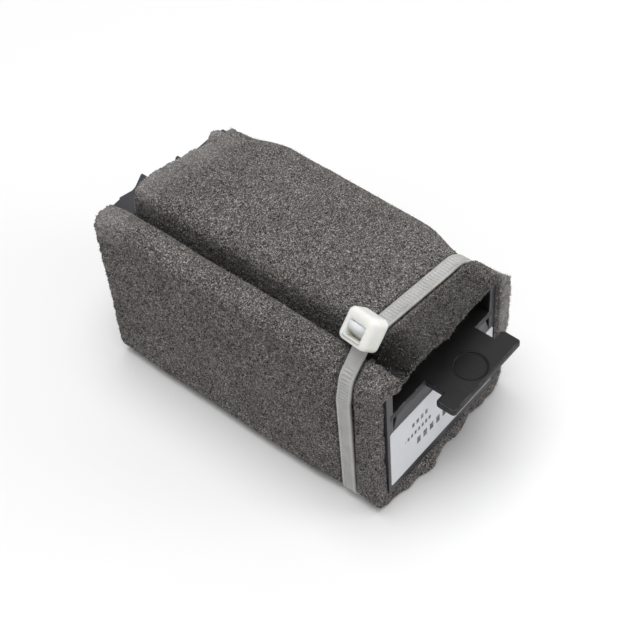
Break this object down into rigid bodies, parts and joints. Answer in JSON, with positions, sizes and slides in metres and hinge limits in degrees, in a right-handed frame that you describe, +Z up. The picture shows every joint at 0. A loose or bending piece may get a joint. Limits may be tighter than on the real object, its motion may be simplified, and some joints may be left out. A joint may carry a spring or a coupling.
{
  "type": "sponge filter",
  "caption": "Drop-in cassette filter: a dark moulded housing with a T-shaped slide plate, wrapped in a grey sponge strip that a nylon cable tie holds.",
  "frame": {"origin": "under the middle of the whole object, on the surface it stands on", "axes": "+Z up, +Y from the pull tab towards the outlet, +X to the right seen from the tab end"},
  "size_m": [0.0464, 0.0922, 0.0548],
  "materials": {
    "housing_plastic": "charcoal moulded ABS, fine satin",
    "plate_plastic": "charcoal moulded ABS, rubbed edges",
    "label_paper": "white coated paper, blank",
    "seal_rubber": "soft black nitrile",
    "mesh_nylon": "black moulded mesh",
    "screw_steel": "stainless, pan head",
    "divider_plastic": "dark grey moulded plastic",
    "floss_fibre": "white polyester floss",
    "pouch_mesh": "black carbon granules in a fine net",
    "ring_ceramic": "unglazed porous ceramic",
    "sponge_foam": "open-cell reticulated polyether foam, warm grey",
    "tie_nylon": "natural translucent nylon 6/6"
  },
  "bodies": {
    "cassette": {"housing": "housing_plastic", "rear_cap": "housing_plastic", "front_label": "label_paper", "rear_gasket": "seal_rubber", "outlet_gasket": "seal_rubber", "outlet_grille": "mesh_nylon", "cap_screws": "screw_steel", "floor_screen": "mesh_nylon", "side_screen_left": "mesh_nylon", "side_screen_right": "mesh_nylon", "divider_front": "divider_plastic", "divider_rear": "divider_plastic", "floss_pad": "floss_fibre", "carbon_pouch": "pouch_mesh", "ceramic_rings": "ring_ceramic", "sponge_wrap": "sponge_foam", "tie_strap": "tie_nylon", "tie_head": "tie_nylon"},
    "plate": {"slide_plate": "plate_plastic"},
    "pawl": {"tie_pawl": "tie_nylon"}
  },
  "joints": [
    {"name": "plate_slide", "type": "slide", "parent": "cassette", "child": "plate", "axis": [0, -1, 0], "range_m": [0, 0.06]},
    {"name": "pawl_bend", "type": "hinge", "parent": "cassette", "child": "pawl", "pos_m": [-0.01533, -0.02732, 0.04844], "axis": [-0.147, -0.9782, 0.147], "range_deg": [0, 8], "stiffness_Nm_per_rad": 0.02}
  ]
}
